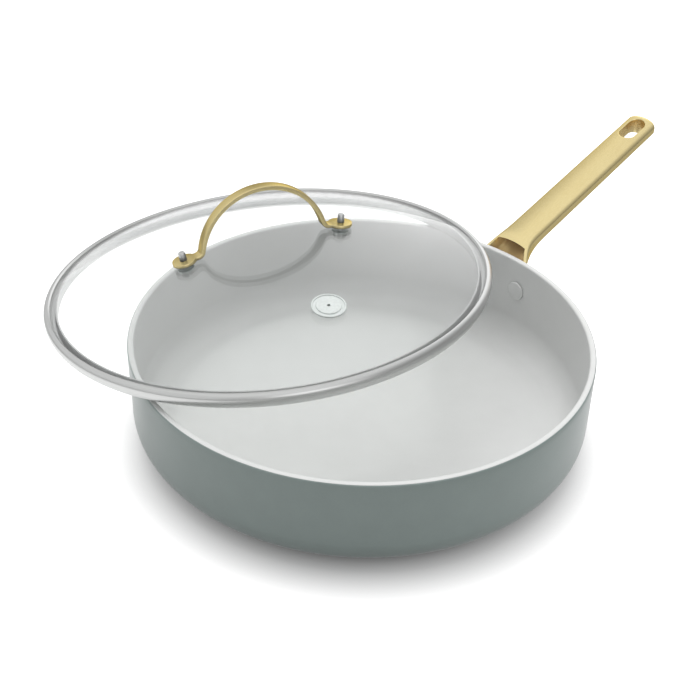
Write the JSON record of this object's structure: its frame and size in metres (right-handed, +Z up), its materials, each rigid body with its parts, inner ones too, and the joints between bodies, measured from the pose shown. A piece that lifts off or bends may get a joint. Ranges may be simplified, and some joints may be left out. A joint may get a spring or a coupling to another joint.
{
  "type": "saute pan with lid",
  "caption": "Round coated saute pan with straight sides and a hollow riveted metal handle, with a domed glass lid in a steel band leaning on its rim under an arched strap handle.",
  "frame": {"origin": "centre of the pan's flat base, on the surface it stands on", "axes": "+X along the pan handle, +Z up, +Y to the side the lid leans over"},
  "size_m": [0.4128, 0.3386, 0.1269],
  "materials": {
    "coated": "satin sage grey ceramic coat outside, on drawn aluminium",
    "lining": "smooth pale grey ceramic non-stick coat",
    "gold": "satin brushed steel with a thin champagne gold coat",
    "steel": "polished stainless steel",
    "glass": "clear tempered glass",
    "silicone": "moulded whitish silicone"
  },
  "bodies": {
    "pan": {"pan_body": "coated", "pan_handle": "gold", "rivet_left": "lining", "rivet_right": "lining"},
    "lid": {"lid_glass": "glass", "lid_band": "steel", "lid_handle": "gold", "steam_vent": "silicone", "lid_bolt_near": "steel", "lid_bolt_far": "steel", "foot_washer_near": "silicone", "foot_washer_far": "silicone", "glass_washer_near": "silicone", "glass_washer_far": "silicone", "lid_nut_near": "steel", "lid_nut_far": "steel"}
  },
  "joints": [
    {"name": "lid_lift", "type": "slide", "parent": "pan", "child": "lid", "axis": [0, 0, 1], "range_m": [0, 0.15]}
  ]
}
